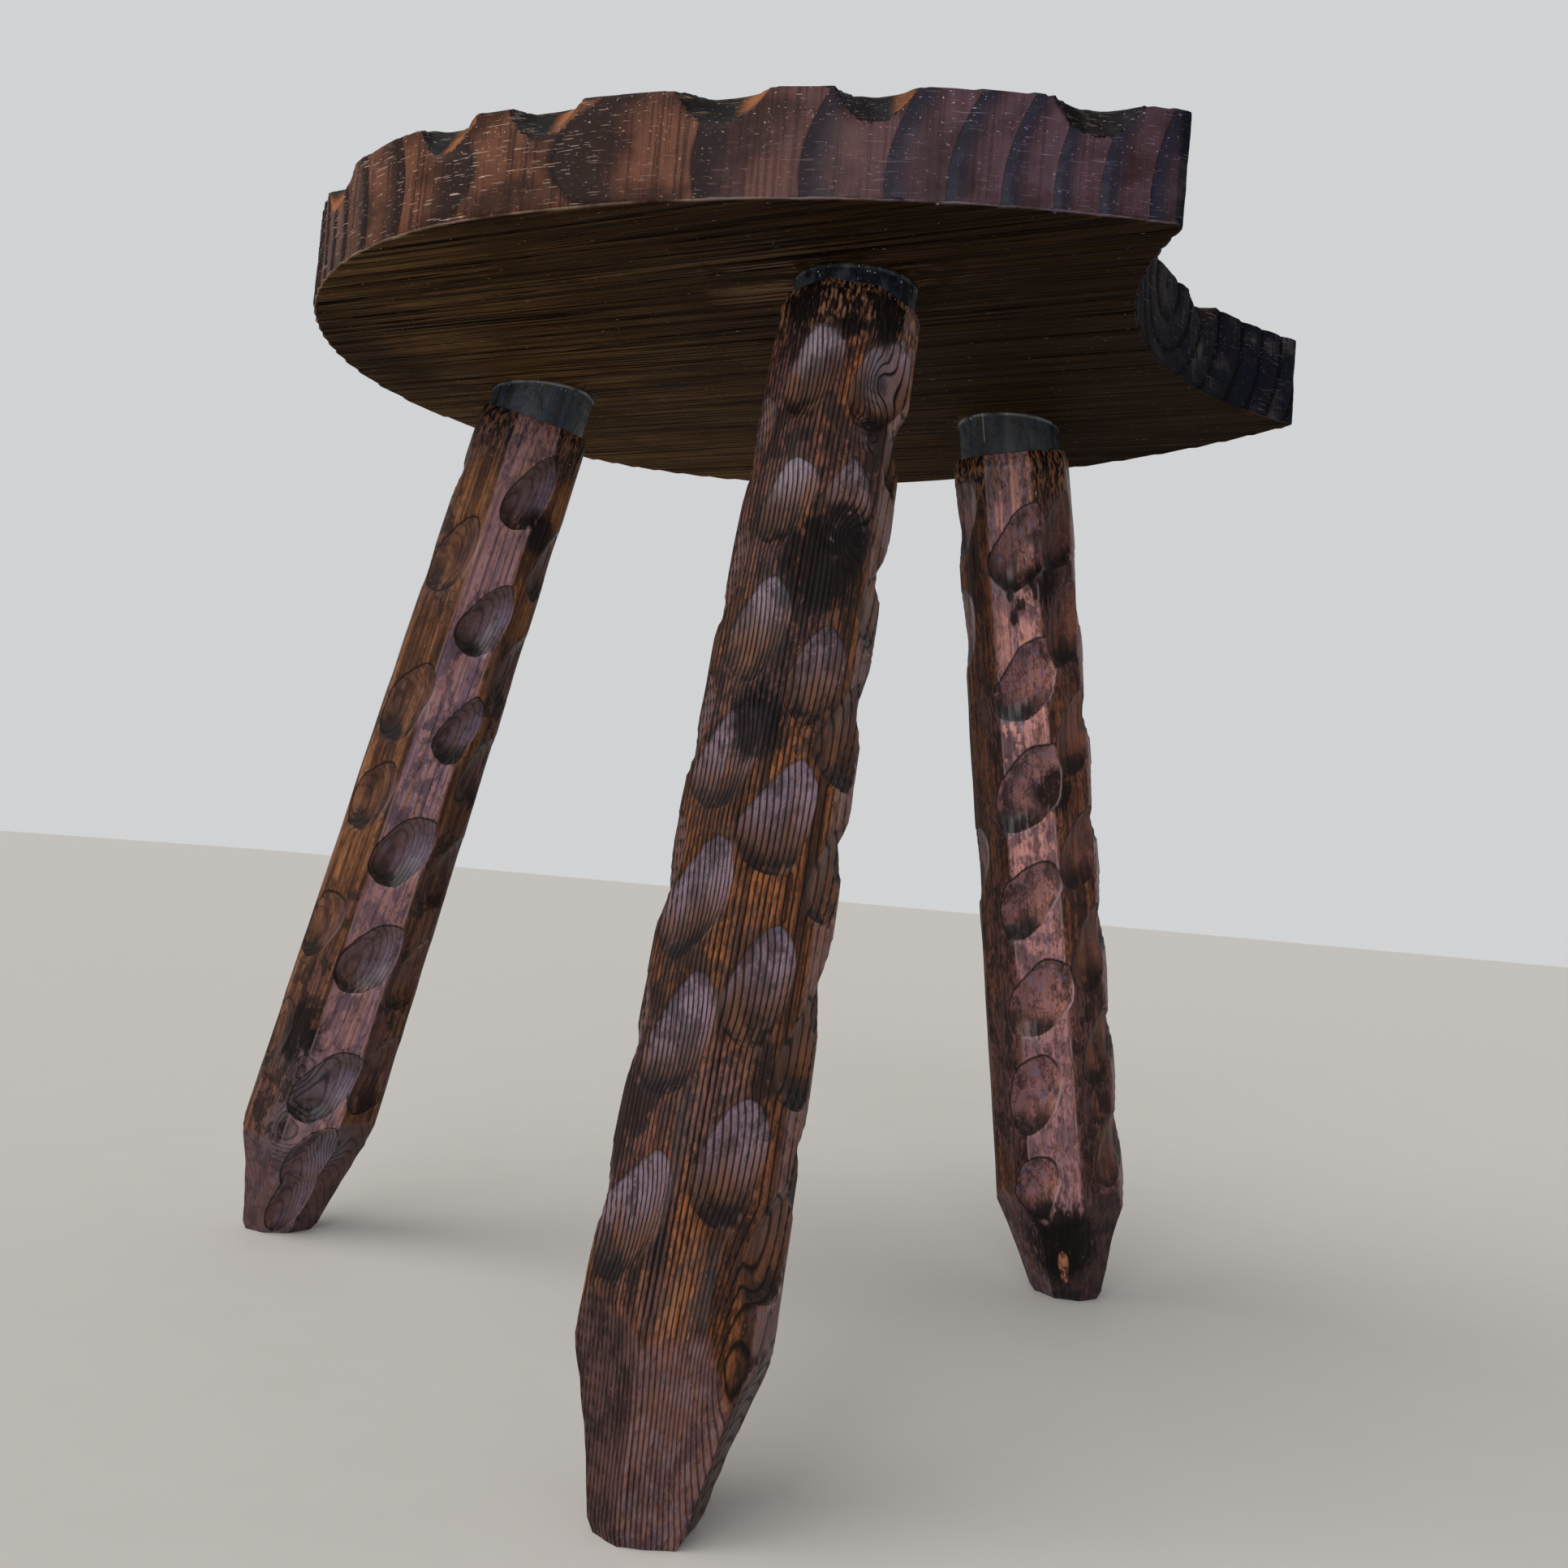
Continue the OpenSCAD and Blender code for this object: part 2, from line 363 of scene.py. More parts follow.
# Each leg's own ways. crumpled and seam are its collar's: how dented it is, and the seam's
# place across it. pith: place and ring width. brushed: how deep the soft wood is worn away.
# gouge: half width, half length, depth, lean, how flat it lies and how steep its walls are.
# edge: how soft the scoops' borders are. dull: the turns between which scoops have less
# polish and less painted sheen. front: the broad flat's turn and depth. worn: turns of the
# worn flats, which also carry a painted sheen, and how worn they are. knots, scorched,
# chipped: distance down, turn and size of each place.
# tongue: turn, half width, start, end and number of the rings that come to a point on the
# foot. foot: turn, start below the knee and darkness of each cut
LEGS = {
    "round_end_leg": dict(
        x=tip_x + 70, y=0, lean=177, splay=16.3, seed=11, crumpled=0.1, seam=0,
        pith=(10.4, 6, 1.3), brushed=0.14,
        gouge=(10.4, 19.0, 3.7, 33, 1.0, 1.2), edge=0.25, dull=(60, 100), front=(137, 2.6),
        worn=[(137, 1.0), (-43, 0.6), (230, 0.5)], tongue=(),
        knots=[(300, 108, 9), (325, 113, 8), (331, 168, 7)], scorched=[(56, 176, 7), (285, 95, 10)],
        foot=[(137, -6, 0.15), (92, 2, 0.5), (40, 0, 0.5), (-8, -4, 0.3), (-60, 3, 0.5), (-118, -12, 0.4),
              (180, -16, 0.5)], chipped=[]),
    "notch_left_leg": dict(
        x=end_x - 112, y=78, lean=72, splay=13.8, seed=22, crumpled=0.2, seam=-2.3,
        pith=(48, -76, 3.0), brushed=0.10,
        gouge=(11.2, 20.4, 3.6, 41, 1.0, 1.35), edge=0.15, dull=(-120, -60), front=(-148, 2.6),
        worn=[(-148, 1.0), (32, 0.7), (-60, 0.3)], tongue=(),
        knots=[],
        scorched=[(72, -143, 2.2), (78, -151, 2), (69, -154, 1.6), (66, -120, 6), (150, -120, 7),
                  (342, -148, 15)],
        foot=[(-146, 0, 1.0), (-100, -4, 0.85), (-48, 2, 0.4), (5, 0, 0.5), (60, -3, 0.3), (112, 0, 0.5),
              (166, -5, 0.25)], chipped=[(350, -146, 2.2), (355, -147, 2.6), (360, -145, 2.0)]),
    "notch_right_leg": dict(
        x=end_x - 112, y=-78, lean=-83, splay=13.8, seed=33, crumpled=0.75, seam=0,
        pith=(18, -105, 1.5), brushed=0.34,
        gouge=(10.6, 17.8, 4.0, 29, 0.5, 1.15), edge=0.35, dull=(60, 120), front=(20, 1.4),
        worn=[(200, 0.5), (92, 0.55)], tongue=(52, 9, 330, 384, 5),
        knots=[(42, 60, 6), (62, 50, 3.5), (97, 48, 6)],
        scorched=[(108, 30, 12.5), (96, 47, 8), (20, -16, 6), (22, 50, 7), (27, 24, 3.5), (160, 5, 8)],
        foot=[(-76, 0, 0.2), (-30, -8, 0.85), (24, 0, 0.2), (98, -2, 0.85), (150, 0, 0.4), (200, -4, 0.3),
              (245, 2, 0.5)], chipped=[]),
}
# Scoops that the photo shows, column by column: distance down the leg and turn about it
SCOOPS = {
    "round_end_leg": [(43, 150), (98, 145), (145, 154), (199, 138), (247, 139), (305, 136), (345, 143),
                      (366, 137),
                      (76, 92), (139, 94), (182, 88), (239, 79), (291, 67)],
    "notch_left_leg": [(52, -143), (105, -145), (149, -148), (195, -155), (237, -151), (277, -160),
                       (319, -164),
                       (45, -94), (84, -96), (128, -92), (176, -97), (219, -92), (261, -90), (307, -87),
                       (36, 149), (82, 140), (180, 140)],
    "notch_right_leg": [(46, -1), (91, -4), (132, -9), (172, -14), (214, -18), (252, -12), (300, -21),
                        (46, 55), (89, 41), (144, 40), (188, 31), (235, 35), (282, 36),
                        (62, 94), (112, 92), (158, 74), (199, 78), (250, 76), (301, 75)],
}
# Flats round a leg
FLATS = 8
# Columns of scoops that the photo doesn't show: turn, and distance down to the first scoop.
# The others follow a pitch apart, each turned a little further
SCOOP_PITCH = 46
ROWS = 7
COLUMN_TWIST = 3
HIDDEN_COLUMNS = {
    "round_end_leg": [(200, 69), (251, 46), (302, 69), (353, 46), (40, 46)],
    "notch_left_leg": [(-45, 69), (6, 46), (57, 69), (105, 46)],
    "notch_right_leg": [(120, 46), (165, 69), (210, 46), (255, 69), (-55, 69)],
}


def knee(leg):
    return leg["length"] - foot_l


def plain_r(leg, s):
    return (shoulder_d + (knee_d - shoulder_d) * (s - shoulder_gap) / (knee(leg) - shoulder_gap)) / 2


def leg_point(r, turn, s):
    """Points in the leg's own frame: distance from its axis, turn about it, distance down."""
    a = np.radians(turn)
    return np.stack([r * np.cos(a), r * np.sin(a), -s], axis=1)


def sideways(p, turn):
    """How far points lie to the side of a turn about the leg, and which are on its half."""
    a = math.radians(turn)
    across = p[:, 1] * math.cos(a) - p[:, 0] * math.sin(a)
    return across, p[:, 0] * math.cos(a) + p[:, 1] * math.sin(a) > 0


def to_floor(leg, out):
    """Distance down the leg to the floor, for points this far out towards where it leans."""
    splay = math.radians(leg["splay"])
    return (under_h + out * math.sin(splay)) / math.cos(splay)


def all_scoops(name):
    """Every scoop of a leg: distance down, turn, half width, half length, depth, polish (which also sets its
    painted sheen).
    """
    leg = LEGS[name]
    rng = np.random.default_rng(leg["seed"])
    dull_from, dull_to = leg["dull"]
    places = [(s, turn, 0.2 if dull_from < turn < dull_to else 1.0) for s, turn in SCOOPS[name]]
    for turn, first in HIDDEN_COLUMNS[name]:
        for row in range(ROWS):
            s = first + row * SCOOP_PITCH
            if s < knee(leg) - 4:
                places.append((s, turn - COLUMN_TWIST * row, 0.35))
    wide, tall, deep = leg["gouge"][:3]
    return [(s, turn, wide * rng.uniform(0.93, 1.07), tall * rng.uniform(0.93, 1.07),
             deep * rng.uniform(0.9, 1.1), polish_and_sheen) for s, turn, polish_and_sheen in places]


def flat_surface(leg, turn, s):
    """The leg's surface before its scoops: eight uneven flats and the foot's cuts. It also
    tells where the foot's cuts are, and how dark each one is."""
    rng = np.random.default_rng(leg["seed"] + 1)
    plain = plain_r(leg, s)
    r = plain.copy()
    front, front_depth = leg["front"]
    for k in range(FLATS):
        at = front + 360 / FLATS * k + (rng.uniform(-4, 4) if k else 0)
        depth = front_depth if k == 0 else rng.uniform(0.9, 1.6)
        away = np.cos(np.radians(turn - at))
        r = np.where(away > 0.5, np.minimum(r, (plain - depth) / np.maximum(away, 0.5)), r)
    shaft, tone = r.copy(), np.zeros(len(r))
    for at, lift, shade in leg["foot"]:
        start = knee(leg) + lift
        end_r = foot_d / 2 + rng.uniform(-0.4, 0.4)
        part = (s - start) / (leg["length"] - start)
        cut = plain - 0.6 + (end_r - plain + 0.6) * part - 1.2 * np.sin(math.pi * np.clip(part, 0, 1))
        away = np.cos(np.radians(turn - at))
        cut = np.where((away > 0.4) & (part > -0.2), cut / np.maximum(away, 0.4), 99)
        tone = np.where(cut < r, shade, tone)
        r = np.minimum(r, cut)
    return r, np.clip((shaft - r) / 0.7, 0, 1), tone


def leg_surface(leg, turn, s, scoops):
    """Distance of the surface from the leg's axis, how far the scoop's bed lies below the
    flats, how near a point is to its scoop's lower end and to its right side, that scoop's
    polish, which also sets its painted sheen, where the foot's cuts are and how dark they are."""
    plain = plain_r(leg, s)
    seed = leg["seed"]
    spot = leg_point(mean_r, turn, s)
    turn = turn + 2.4 * wander(spot, (15, 15, 22), seed + 7) + 0.8 * wander(spot, (5, 5, 7), seed + 8)
    s = s + 1.8 * wander(spot, (13, 13, 15), seed + 9) + 0.6 * wander(spot, (5, 5, 5), seed + 10)
    worn, foot, tone = flat_surface(leg, turn, s)
    low, side, shine = np.zeros(len(worn)), np.zeros(len(worn)), np.zeros(len(worn))
    lean, flat, steep = leg["gouge"][3:]
    lean = math.radians(lean)
    owner = np.full(len(worn), 1e9)
    for s0, at, half_w, half_l, depth, polish_and_sheen in scoops:
        away = np.cos(np.radians(turn - at))
        across = plain * np.sin(np.radians(turn - at))
        down = s - s0
        u = across * math.sin(lean) - down * math.cos(lean)
        v = across * math.cos(lean) + down * math.sin(lean)
        base = flat_surface(leg, np.array([float(at)]), np.array([float(s0)]))[0][0] - depth
        length = np.where(u > 0, 1.1, 0.88) * half_l
        rise = (abs(u / length) ** 2.8 + (v / half_w) ** 2) ** steep
        bed = (base + depth * rise) / np.maximum(away, 0.3) ** flat
        mine = (away > 0.3) & (abs(down) < 2 * half_l) & (bed < owner)
        low = np.where(mine, 0.5 - 0.5 * u / length + 0.25 * v / half_w, low)
        side = np.where(mine, v / half_w, side)
        shine = np.where(mine, polish_and_sheen, shine)
        owner = np.where(mine, bed, owner)
    hollow = np.clip(worn - owner, -3, 6)
    return worn - leg["edge"] * np.logaddexp(0, hollow / leg["edge"]), hollow, low, side, shine, foot, tone


def spots(places, p):
    """How near each point is to one of these places on a leg, from 0 to 1."""
    pull = np.zeros(len(p))
    for s0, at, size in places:
        across, front = sideways(p, at)
        far = np.hypot(across, (p[:, 2] + s0) / 1.3) / size
        pull = np.maximum(pull, front * np.exp(-far ** 2))
    return pull


def leg_rings(leg, p):
    """Growth ring number at points in the leg's own frame."""
    px, py, width = leg["pith"]
    bend = 1.3 * wander(p, (70, 70, 170), leg["seed"]) + 0.3 * wander(p, (14, 14, 50), leg["seed"] + 5)
    ring = (np.hypot(p[:, 0] - px, p[:, 1] - py) + bend) / width
    if leg["tongue"]:
        turn, wide, start, end, rings = leg["tongue"]
        across, front = sideways(p, turn)
        fade = np.clip((40 - p[:, 2] - start) / 40, 0, 1) * np.clip((end + p[:, 2]) / (end - start), 0, 1)
        ring = ring + rings * front * fade * np.exp(-(across / wide) ** 2)
    return ring + 3.5 * spots(leg["knots"], p)


def groove_relief(ring):
    """Height from 0 to 1 across a ring of a leg: a narrow groove, then a broad ridge."""
    phase = ring - np.floor(ring)
    up = np.clip(phase / 0.4, 0, 1)
    down = np.clip((1 - phase) / 0.12, 0, 1)
    return up * up * (3 - 2 * up) * down


def turned_leg(name):
    """A leg before it is carved: a cylinder with its tenon, cut into rows along its length."""
    leg = LEGS[name]
    around, rows = (320, 290) if leg["brushed"] > 0.2 else (250, 380)
    top, bottom = -shoulder_gap, -leg["length"]
    start_r = shoulder_d / 2
    bpy.ops.mesh.primitive_cylinder_add(vertices=around, radius=start_r * MM, depth=(top - bottom) * MM,
                                        location=(0, 0, (top + bottom) / 2 * MM))
    piece = bpy.context.object
    bpy.ops.object.transform_apply(location=True, rotation=True, scale=True)
    piece.name = "carved_" + name
    bpy.ops.object.mode_set(mode="EDIT")
    pick(piece, "FACE", lambda f: f.normal.z > 0.9)
    bpy.ops.mesh.inset(thickness=(start_r - tenon_r) * MM)
    tenon_l = shoulder_gap + tenon_in - 0.5
    bpy.ops.mesh.extrude_region_move(TRANSFORM_OT_translate={"value": (0, 0, tenon_l * MM)})
    pick(piece, "FACE", lambda f: f.normal.z < -0.9)
    for thickness in (3, 6, 6):
        bpy.ops.mesh.inset(thickness=thickness * MM)
    pick(piece, "EDGE", lambda e: abs(e.verts[0].co.z - e.verts[1].co.z) > 0.1)
    bpy.ops.mesh.subdivide(number_cuts=rows - 1)
    bpy.ops.object.mode_set(mode="OBJECT")
    return piece


def carve_leg(piece, name):
    """Draws the turned leg in to its carved surface, from the shoulder to a foot cut level with
    the floor, brushes its soft wood out and keeps what its finish reads."""
    leg = LEGS[name]
    scoops = all_scoops(name)
    p = points(piece)
    turn = np.degrees(np.arctan2(p[:, 1], p[:, 0]))
    out = np.hypot(p[:, 0], p[:, 1]) / (shoulder_d / 2)
    top = -shoulder_gap
    body = (p[:, 2] < top + 0.01) & ((out > 0.99) | (p[:, 2] < top - 1))
    part = (top - p[body, 2]) / (top + leg["length"])
    turn, out = turn[body], out[body]
    on_side = out > 0.99
    lean_cos = np.cos(np.radians(turn))

    # How far down the floor is depends on how far out the surface is there, and the other way
    # round, so a few rounds settle it
    reach = leg["length"] + np.zeros(len(turn))
    for _ in range(4):
        r = leg_surface(leg, turn, reach, scoops)[0] - 0.3
        reach = to_floor(leg, r * out * lean_cos)
    s = shoulder_gap + part * (reach - shoulder_gap)
    r, hollow, low, side, shine, foot, tone = leg_surface(leg, turn, s, scoops)
    near_by = ((4, 0), (-4, 0), (0, 2.5), (0, -2.5))
    beside = [leg_surface(leg, turn + dt, s + ds, scoops)[0] for dt, ds in near_by]
    crest = np.clip(1.6 * (r - sum(beside) / 4), -1, 1)
    # The worn flats, whose pink colour is partly a painted sheen
    worn = sum(w * np.clip((24 - abs((turn - at + 180) % 360 - 180)) / 3, 0, 1) for at, w in leg["worn"])

    q = leg_point(r, turn, s)
    ring, knot, scorch = leg_rings(leg, q), spots(leg["knots"], q), spots(leg["scorched"], q)
    depth = leg["brushed"] * np.clip((reach - s) / 4 + 0.2, 0, 1)
    ragged = 0.07 * wander(q, (1.5, 1.5, 12), leg["seed"] + 2) + 0.12 * wander(q, (7, 7, 24), leg["seed"] + 3)
    r = r - np.where(on_side, depth * (1 - groove_relief(ring)) + 0.15 + ragged - 0.5 * knot, 0.3)
    ends = np.minimum(s - shoulder_gap, np.maximum(reach - s, 0))
    r = (r - rounded(ends, 1.2) * on_side) * out
    s = np.minimum(s, to_floor(leg, r * lean_cos))
    q = leg_point(r, turn, s)
    p[body] = q
    move_points(piece, p)

    kept = dict(ring=ring, hollow=hollow, low=low, side=side, shine=shine, along=s, knot=knot, crest=crest,
                scorch=scorch, foot=foot, tone=tone, chip=spots(leg["chipped"], q),
                worn=np.clip(worn, 0, 1))
    whole = {label: np.zeros(len(p)) for label in kept}
    for label, values in kept.items():
        whole[label][body] = values
    record(piece, **whole)


def make_leg(name):
    piece = turned_leg(name)
    carve_leg(piece, name)
    place(piece, leg_stance(LEGS[name]))
    finish_piece(piece, leg_finish(name), "leg_wood", name)


# Collars

def make_collar(name, leg):
    """The black sleeve: a thin tube, slightly out of round, with a lip where it enters the seat."""
    low, high = -shoulder_gap + 0.05, tenon_in - 0.4
    bpy.ops.mesh.primitive_cylinder_add(vertices=160, radius=collar_r * MM, depth=(high - low) * MM,
                                        location=(0, 0, (low + high) / 2 * MM), end_fill_type="NOTHING")
    piece = bpy.context.object
    bpy.ops.object.transform_apply(location=True, rotation=True, scale=True)
    piece.name = "black_" + name
    bpy.ops.object.mode_set(mode="EDIT")
    pick(piece, "EDGE", lambda e: abs(e.verts[0].co.z - e.verts[1].co.z) > MM)
    bpy.ops.mesh.subdivide(number_cuts=60)
    bpy.ops.object.mode_set(mode="OBJECT")
    p = points(piece)
    turn = np.arctan2(p[:, 1], p[:, 0])
    splay = math.radians(leg["splay"])
    above = p[:, 0] * math.sin(splay) + p[:, 2] * math.cos(splay)
    dent = (0.08 + 0.3 * leg["crumpled"]) * (wander(p, (10, 10, 30), leg["seed"]) - 1)
    lip = 0.35 * np.exp(-((above + 0.5) / 0.45) ** 2)
    out_r = collar_r + np.where(above < 0.4, dent + lip, -0.1)
    p[:, 0], p[:, 1] = out_r * np.cos(turn), out_r * np.sin(turn)
    move_points(piece, p)
    record(piece, above=above)
    lone(piece)
    wall = piece.modifiers.new("wall", "SOLIDIFY")
    wall.thickness, wall.offset = (collar_wall - 0.1) * MM, -1
    bpy.ops.object.modifier_apply(modifier=wall.name)
    edge = piece.modifiers.new("edge", "BEVEL")
    edge.width, edge.segments, edge.limit_method, edge.angle_limit = 0.35 * MM, 2, "ANGLE", math.radians(60)
    bpy.ops.object.modifier_apply(modifier=edge.name)
    place(piece, leg_stance(leg))
    finish_piece(piece, sleeve_finish(name, leg), "black_sleeve", name)


# Finishes

class Tone:
    """A value or colour of a finish, which can be written in sums."""

    def __init__(self, finish, socket):
        self.finish, self.socket = finish, socket

    def __add__(self, other):
        return self.finish.maths("ADD", self, other)

    def __sub__(self, other):
        return self.finish.maths("SUBTRACT", self, other)

    def __rsub__(self, other):
        return self.finish.maths("SUBTRACT", other, self)

    def __mul__(self, other):
        return self.finish.maths("MULTIPLY", self, other)

    __radd__, __rmul__ = __add__, __mul__

    def part(self):
        return self.finish.maths("FRACT", self)

    def size(self):
        return self.finish.maths("ABSOLUTE", self)

    def least(self, other):
        return self.finish.maths("MINIMUM", self, other)

    def rise(self, low, high):
        """0 below low and 1 above high, with a soft rise between."""
        return self.finish.node("ShaderNodeMapRange", {"interpolation_type": "SMOOTHSTEP"}, 0,
                                {"Value": self, "From Min": low, "From Max": high})


class Finish:
    """One material, with a Principled shader and whatever feeds it. What several of its
    colours share is kept in it by name. The colours written below are those of the stool in
    the photo's dim light, and in plain light they are this much brighter."""

    brighter = 1.5

    def __init__(self, name, **fixed):
        self.material = bpy.data.materials.new(name)
        self.material.use_nodes = True
        self.tree = self.material.node_tree
        self.shader = self.tree.nodes["Principled BSDF"]
        for key, value in fixed.items():
            self.shader.inputs[key.replace("_", " ")].default_value = value
        self.place = self.node("ShaderNodeTexCoord", out="Object")

    def node(self, kind, settings=None, out=0, sockets=None):
        made = self.tree.nodes.new(kind)
        for key, value in (settings or {}).items():
            setattr(made, key, value)
        for key, value in (sockets or {}).items():
            socket = made.inputs[key]
            if isinstance(value, Tone):
                self.tree.links.new(value.socket, socket)
            else:
                socket.default_value = value
        return Tone(self, made.outputs[out])

    def maths(self, operation, *values):
        return self.node("ShaderNodeMath", {"operation": operation}, 0, dict(enumerate(values)))

    def mix(self, low, high, amount):
        """The low colour where amount is 0 and the high one where it is 1."""
        colours = [(*(v * self.brighter for v in c), 1) if isinstance(c, tuple) else c for c in (low, high)]
        return self.node("ShaderNodeMix", {"data_type": "RGBA"}, 2, {0: amount, 6: colours[0], 7: colours[1]})

    def noise(self, stretch, detail=3.0, roughness=0.55, shift=(0, 0, 0)):
        """Noise whose features are about one over each stretch long, in metres."""
        spot = self.node("ShaderNodeVectorMath", {"operation": "MULTIPLY_ADD"}, 0,
                         {0: self.place, 1: stretch, 2: shift})
        return self.node("ShaderNodeTexNoise", None, 0,
                         {"Vector": spot, "Scale": 1.0, "Detail": detail, "Roughness": roughness})

    def millimetres(self, axis):
        return self.node("ShaderNodeSeparateXYZ", None, axis, {0: self.place}) * (1 / MM)

    def read(self, *names):
        """Keeps what was recorded at the piece's points."""
        for name in names:
            setattr(self, name, self.node("ShaderNodeAttribute", {"attribute_name": name}, "Fac"))

    def bump(self, height, distance, strength=1.0, under=None):
        sockets = {"Height": height, "Distance": distance, "Strength": strength}
        if under:
            sockets["Normal"] = under
        return self.node("ShaderNodeBump", None, 0, sockets)

    def paint(self, **sockets):
        for key, value in sockets.items():
            self.tree.links.new(value.socket, self.shader.inputs[key.replace("_", " ")])
        return self.material


SOOT = (0.002, 0.001, 0.001)


def banded_wood(f):
    """The rim: early wood brown and late wood near black; towards the notch a painted purple reflection and
    painted shade.
    """
    # Towards the notch: painted reflection (purple) and painted shade (darker)
    light = f.mix((0.088, 0.034, 0.018), (0.046, 0.024, 0.031), f.to_notch)
    deep = f.mix((0.022, 0.008, 0.004), (0.020, 0.009, 0.010), f.to_notch)
    brown = f.mix(deep, light, f.patch.rise(0.34, 0.62))
    brown = f.mix(brown, (0.010, 0.004, 0.003), f.upright.rise(0.46, 0.66) * (0.75 - 0.35 * f.to_notch))
    dark = f.mix((0.009, 0.004, 0.003), (0.006, 0.006, 0.012), f.to_notch)
    return f.mix(brown, f.mix(dark, brown, f.upright.rise(0.5, 0.75) * 0.25), f.late * 0.96)


def notch_wood(f):
    """The notch's wall: sooty end grain, with black painted shade in the creases where ring meets ring."""
    sooty = f.mix((0.003, 0.0035, 0.006), (0.040, 0.032, 0.031),
                  f.patch.rise(0.42, 0.70) * (1 - f.late) * f.upright.rise(0.3, 0.6))
    sooty = f.mix((0.014, 0.010, 0.008), sooty, f.x.rise(160, 176))
    # Painted shade in the creases between the rolls of the rings
    inside_ring = (f.phase * (1 - f.phase) * 4).rise(0.05, 0.65)
    return f.mix(sooty, (0.001, 0.001, 0.001), (1 - inside_ring) * 0.85)


def underside_wood(f):
    """Greener brown in long fine lines, with painted shade darkening it towards the notch, painted glints
    towards the round end and a painted shadow of that end's leg.
    """
    below = f.mix((0.036, 0.018, 0.007), (0.120, 0.062, 0.022),
                  f.lines.rise(0.36, 0.62) * f.patch.rise(0.25, 0.6))
    # Painted shade: darker towards the notch
    below = f.mix(below, (0.010, 0.006, 0.003), f.x.rise(-170, 150) * 0.85)
    below = f.mix(below, SOOT, f.streak.rise(0.54, 0.62) * 0.5)
    below = f.mix(below, SOOT, f.hair.rise(0.52, 0.57) * (0.35 + 0.6 * f.patch.rise(0.35, 0.5)))
    # Painted glints on fine lines, towards the round end only
    below = f.mix(below, (0.150, 0.092, 0.045),
                  (1 - f.hair).rise(0.60, 0.66) * (1 - f.x.rise(-150, 60)) * 0.5)
    # Painted shadow of the round end's leg: darker between the round end and that leg's collar
    shade = f.x.rise(-164, -157) * (1 - f.x.rise(-125, -95)) * (1 - f.y.rise(-30, -5))
    below = f.mix(below, (0.003, 0.002, 0.001), shade * 0.6)
    scuffed = f.scuffed * f.lines.rise(0.50, 0.60) * f.patch.rise(0.4, 0.55)
    return f.mix(below, (0.150, 0.090, 0.048), scuffed)


def stained_wood(f):
    """All of the board but its scoops."""
    colour = f.mix(banded_wood(f), notch_wood(f), f.in_notch)
    colour = f.mix(colour, underside_wood(f), f.below_part)
    # A black line at each ring's edge: painted shadow of the step there, weaker on the underside
    ring_edge = 1 - f.phase.rise(0.0, 0.05)
    return f.mix(colour, SOOT, ring_edge * (0.9 - 0.5 * f.below_part * (1 - f.streak.rise(0.4, 0.6))))


def scooped_wood(f):
    """The board's scoops: black in painted shade, with an orange flank, painted light, where it faces the
    round end, and pale painted glints along the grain.
    """
    grain_glint = f.noise((170, 170, 1500), 3, shift=(8, 8, 8))
    # Painted light: orange on the flank that faces the round end, black painted shade elsewhere
    painted_lit_flank = (0 - f.facing).rise(-0.05, 0.25) * (1 - f.late * 0.5) * (1 - f.x.rise(150, 170))
    colour = f.mix((0.003, 0.002, 0.002), (0.170, 0.056, 0.016), painted_lit_flank)
    # Pale painted glints along the grain
    return f.mix(colour, (0.19, 0.12, 0.08), grain_glint.rise(0.60, 0.70) * 0.35)


def pale_marks(f):
    """Where the board is pale: upright dashes, which are painted glints, and flecks on its rim, scratches on
    its underside and a lip between the two, a painted highlight on the rounded edge with some wear."""
    # The dashes are painted glints on the fibres, mostly in the middle of the rim
    dash = f.noise((130, 130, 3600), 1, shift=(1, 1, 4)).rise(0.69, 0.72) * f.wall * f.patch.rise(0.35, 0.5)
    dash = dash * (0.25 + 0.75 * f.x.rise(-120, -70) * (1 - f.x.rise(20, 80)))
    fleck = f.noise((900, 900, 1700), 1, shift=(6, 2, 4)).rise(0.70, 0.74)
    fleck = fleck * f.wall * (0.4 + 0.6 * f.height.rise(12, 30))
    scratch = f.noise((420, 1300, 1300), 2, shift=(4, 1, 4)).rise(0.71, 0.75) * f.below_part
    # The lip: a painted highlight along the rounded lower edge, with some wear
    lip = (1 - (f.height - 0.7).size().rise(0.25, 0.6)) * (1 - f.below_part) * f.patch.rise(0.34, 0.52)
    lip = lip * (1 - f.x.rise(130, 150) * f.end_grain.rise(0.3, 0.5))
    return (dash * 0.95 + fleck * (0.7 - 0.4 * f.in_notch) + scratch * 0.5 + lip * 0.35).least(1.0)


